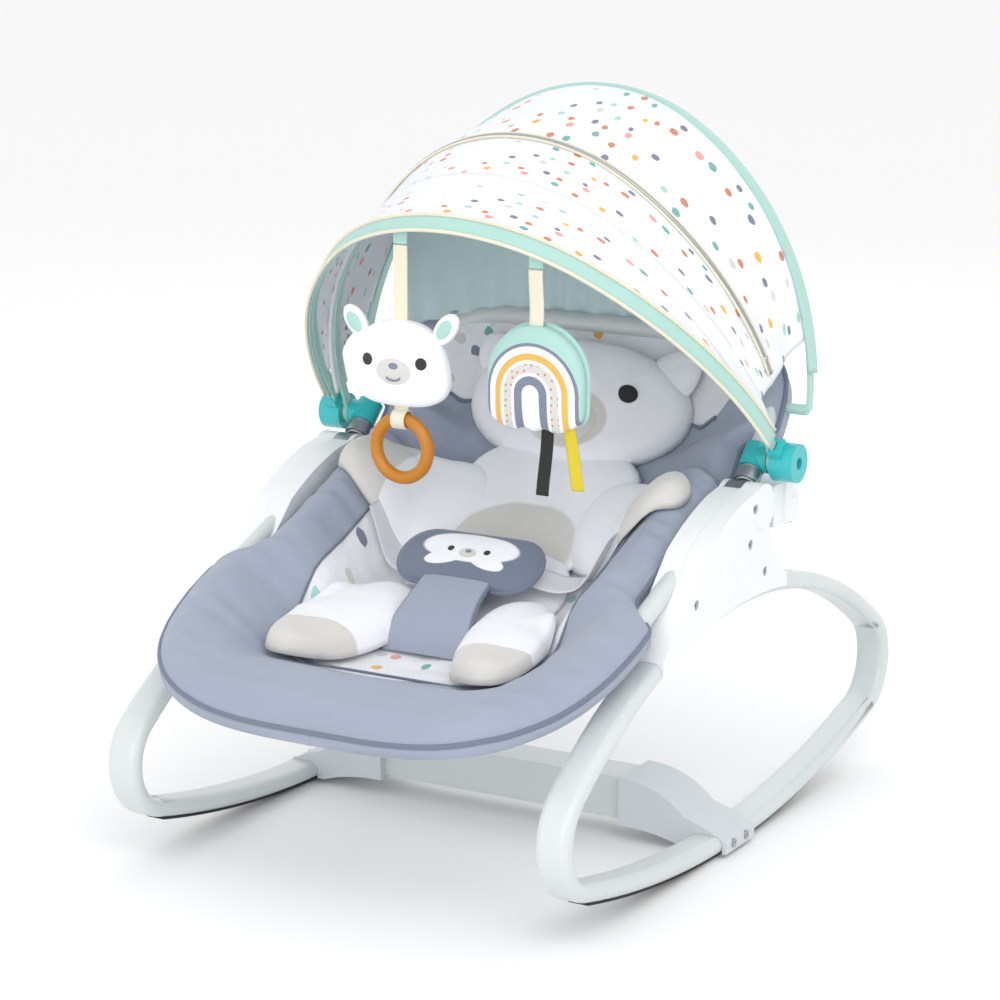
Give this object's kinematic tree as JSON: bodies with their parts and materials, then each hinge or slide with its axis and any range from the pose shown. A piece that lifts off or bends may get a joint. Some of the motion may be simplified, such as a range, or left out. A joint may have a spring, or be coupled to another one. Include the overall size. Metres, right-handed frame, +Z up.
{
  "type": "baby bouncer seat",
  "caption": "Rocking baby seat on two side loops with a slung fabric seat, reclining backrest, folding canopy, harness and hanging toys.",
  "frame": {"origin": "centre of the overall box at floor level", "axes": "+Z up, +Y towards the sitter's head, +X towards the right-hand loop, the rainbow toy's side"},
  "size_m": [0.512, 0.6956, 0.6772],
  "materials": {
    "frame_enamel": "satin",
    "rubber": "matt",
    "bare_steel": "satin",
    "pale_plastic": "satin",
    "clamp_plastic": "satin",
    "grey_fabric": "matt",
    "white_plush": "matt",
    "beige_plush": "matt",
    "webbing": "matt",
    "buckle_plastic": "satin",
    "button_plastic": "satin",
    "teal_plastic": "gloss",
    "lever_plastic": "gloss",
    "hoop_plastic": "satin",
    "canopy_fabric": "matt",
    "mint_tape": "matt",
    "cream_ribbon": "matt",
    "dark_ribbon": "matt",
    "amber_plastic": "gloss"
  },
  "bodies": {
    "base": {"left_front_tube": "frame_enamel", "right_front_tube": "frame_enamel", "left_rocker_tube": "frame_enamel", "right_rocker_tube": "frame_enamel", "left_antislip_strip": "rubber", "right_antislip_strip": "rubber", "joint_sleeves": "bare_steel", "crossbar_tube": "frame_enamel", "left_crossbar_clamp": "clamp_plastic", "right_crossbar_clamp": "clamp_plastic", "clamp_screws": "bare_steel", "left_bracket_outer": "pale_plastic", "right_bracket_outer": "pale_plastic", "left_bracket_inner": "pale_plastic", "right_bracket_inner": "pale_plastic", "bracket_screws": "bare_steel", "left_recline_pin": "bare_steel", "right_recline_pin": "bare_steel", "seat_frame_tube": "bare_steel", "seat_cover": "grey_fabric", "plush_body": "white_plush", "crotch_strap": "grey_fabric", "crotch_pad": "grey_fabric", "left_waist_belt": "webbing", "right_waist_belt": "webbing", "buckle_housing": "buckle_plastic", "buckle_tongues": "buckle_plastic"},
    "release_button": {"buckle_button": "button_plastic"},
    "backrest": {"left_recline_arm": "pale_plastic", "right_recline_arm": "pale_plastic", "left_lock_housing": "pale_plastic", "right_lock_housing": "pale_plastic", "lever_pins": "bare_steel", "lever_springs": "bare_steel", "backrest_tube": "bare_steel", "back_cover": "grey_fabric", "plush_head": "white_plush", "plush_left_arm": "beige_plush", "plush_right_arm": "beige_plush", "left_pod_clip": "teal_plastic", "right_pod_clip": "teal_plastic", "left_pivot_pin": "bare_steel", "right_pivot_pin": "bare_steel", "rear_hoop": "hoop_plastic", "rear_canopy": "canopy_fabric"},
    "left_lever": {"left_recline_lever": "lever_plastic"},
    "right_lever": {"right_recline_lever": "lever_plastic"},
    "canopy_middle": {"middle_hoop": "hoop_plastic", "middle_canopy": "canopy_fabric"},
    "canopy_front": {"front_hoop": "hoop_plastic", "front_canopy": "canopy_fabric", "left_pod": "teal_plastic", "right_pod": "teal_plastic", "toy_loops": "mint_tape"},
    "bear": {"bear_toy": "white_plush", "toy_ribbons": "cream_ribbon"},
    "ring": {"teether_ring": "amber_plastic"},
    "rainbow": {"rainbow_toy": "white_plush", "rainbow_tails": "dark_ribbon"}
  },
  "joints": [
    {"name": "backrest_recline", "type": "hinge", "parent": "base", "child": "backrest", "pos_m": [0, 0.035, 0.3145], "axis": [-1, 0, 0], "range_deg": [0, 24]},
    {"name": "canopy_fold", "type": "hinge", "parent": "backrest", "child": "canopy_middle", "pos_m": [0, 0.07, 0.3495], "axis": [-1, 0, 0], "range_deg": [0, 40], "deforming": ["middle_canopy", "rear_canopy"]},
    {"name": "canopy_front_fold", "type": "hinge", "parent": "canopy_middle", "child": "canopy_front", "pos_m": [0, 0.07, 0.3495], "axis": [-1, 0, 0], "range_deg": [0, 11], "deforming": ["front_canopy"]},
    {"name": "left_lever_squeeze", "type": "hinge", "parent": "backrest", "child": "left_lever", "pos_m": [-0.218, 0.091, 0.2945], "axis": [1, 0, 0], "range_deg": [0, 12], "stiffness_Nm_per_rad": 0.6, "springref_deg": -8.59, "deforming": ["lever_springs"]},
    {"name": "right_lever_squeeze", "type": "hinge", "parent": "backrest", "child": "right_lever", "pos_m": [0.218, 0.091, 0.2945], "axis": [1, 0, 0], "range_deg": [0, 12], "stiffness_Nm_per_rad": 0.6, "springref_deg": -8.59, "deforming": ["lever_springs"]},
    {"name": "button_press", "type": "slide", "parent": "base", "child": "release_button", "axis": [0, 0.788, 0.6157], "range_m": [0, 0.003], "stiffness_N_per_m": 400, "springref_m": -0.002},
    {"name": "bear_swing", "type": "hinge", "parent": "canopy_front", "child": "bear", "pos_m": [-0.041, -0.1369, 0.55538], "axis": [1, 0, 0], "range_deg": [-40, 40]},
    {"name": "ring_swing", "type": "hinge", "parent": "bear", "child": "ring", "pos_m": [-0.041, -0.1369, 0.39738], "axis": [1, 0, 0], "range_deg": [-40, 40]},
    {"name": "rainbow_swing", "type": "hinge", "parent": "canopy_front", "child": "rainbow", "pos_m": [0.09, -0.12404, 0.54158], "axis": [1, 0, 0], "range_deg": [-40, 40]}
  ],
  "couplings": [
    {"joint": "canopy_front_fold", "follows": "canopy_fold", "ratio": 0.275}
  ]
}
